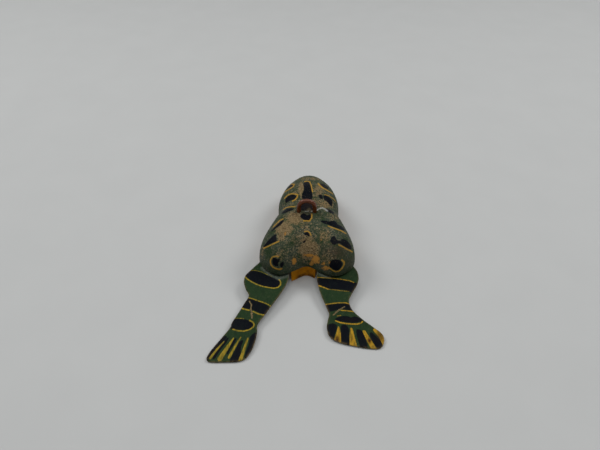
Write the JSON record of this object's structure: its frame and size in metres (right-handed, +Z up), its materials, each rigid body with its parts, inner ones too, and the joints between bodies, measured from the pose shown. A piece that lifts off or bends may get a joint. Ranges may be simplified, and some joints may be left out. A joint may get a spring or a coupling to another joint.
{
  "type": "wind-up hopping frog",
  "caption": "Painted tin frog of two pressed shells with flat splayed hind legs, a wire winder on its back and a clockwork that cocks and kicks the legs.",
  "frame": {"origin": "where the vertical winding axis meets the flat underside that the frog rests on", "axes": "+Y along the body towards the nose, +Z up away from the table"},
  "size_m": [0.066, 0.1015, 0.0276],
  "materials": {
    "back_shell": "worn hand-painted green over primed tin",
    "belly_shell": "worn ochre paint",
    "lower_plate": "stamped, dull",
    "top_plate": "stamped, dull",
    "plate_pillars": "turned",
    "motor_posts": "turned",
    "hip_brackets": "stamped, dull",
    "mainspring": "blued spring strip",
    "kick_spring": "blued spring wire",
    "left_leg": "worn hand-painted green over primed tin",
    "right_leg": "worn hand-painted green over primed tin",
    "hip_shaft": "drawn wire rod",
    "follower_arm": "stamped",
    "great_wheel": "stamped",
    "click_stud": "turned",
    "click_spring": "blued wire",
    "click": "stamped",
    "winding_arbor": "turned",
    "ratchet_wheel": "stamped",
    "winder_disc": "painted with the back",
    "winder_bow": "copper-coloured polished wire",
    "second_arbor": "turned",
    "second_pinion": "cut",
    "second_wheel": "stamped",
    "cam_arbor": "turned",
    "cam_pinion": "cut",
    "kick_cam": "pressed"
  },
  "bodies": {
    "frame": {"back_shell": "back_shell", "belly_shell": "belly_shell", "lower_plate": "lower_plate", "top_plate": "top_plate", "plate_pillars": "plate_pillars", "motor_posts": "motor_posts", "hip_brackets": "hip_brackets", "mainspring": "mainspring", "kick_spring": "kick_spring"},
    "legs": {"left_leg": "left_leg", "right_leg": "right_leg", "hip_shaft": "hip_shaft", "follower_arm": "follower_arm"},
    "main_wheel": {"great_wheel": "great_wheel", "click_stud": "click_stud", "click_spring": "click_spring"},
    "click": {"click": "click"},
    "winder": {"winding_arbor": "winding_arbor", "ratchet_wheel": "ratchet_wheel", "winder_disc": "winder_disc", "winder_bow": "winder_bow"},
    "second_arbor": {"second_arbor": "second_arbor", "second_pinion": "second_pinion", "second_wheel": "second_wheel"},
    "cam": {"cam_arbor": "cam_arbor", "cam_pinion": "cam_pinion", "kick_cam": "kick_cam"}
  },
  "joints": [
    {"name": "legs_kick", "type": "hinge", "parent": "frame", "child": "legs", "pos_m": [0, -0.0146, 0.0054], "axis": [1, 0, 0], "range_deg": [0, 20]},
    {"name": "main_wheel_turn", "type": "hinge", "parent": "frame", "child": "main_wheel", "pos_m": [0, 0, 0.01], "axis": [0, 0, 1], "range_deg": [0, 11.11]},
    {"name": "second_arbor_turn", "type": "hinge", "parent": "frame", "child": "second_arbor", "pos_m": [-0.00755, -0.00519, 0.01], "axis": [0, 0, 1], "range_deg": [-61, 0]},
    {"name": "cam_turn", "type": "hinge", "parent": "frame", "child": "cam", "pos_m": [0, -0.009, 0.01], "axis": [0, 0, 1], "range_deg": [0, 301]},
    {"name": "winder_turn", "type": "hinge", "parent": "main_wheel", "child": "winder", "pos_m": [0, 0, 0.02], "axis": [0, 0, 1], "continuous": true},
    {"name": "click_lift", "type": "hinge", "parent": "main_wheel", "child": "click", "pos_m": [0.0056, 0.0014, 0.0108], "axis": [0, 0, -1], "range_deg": [0, 8], "stiffness_Nm_per_rad": 0.001}
  ],
  "couplings": [
    {"joint": "main_wheel_turn", "follows": "legs_kick", "ratio": 0.54546},
    {"joint": "second_arbor_turn", "follows": "legs_kick", "ratio": -3},
    {"joint": "cam_turn", "follows": "legs_kick", "ratio": 15}
  ]
}
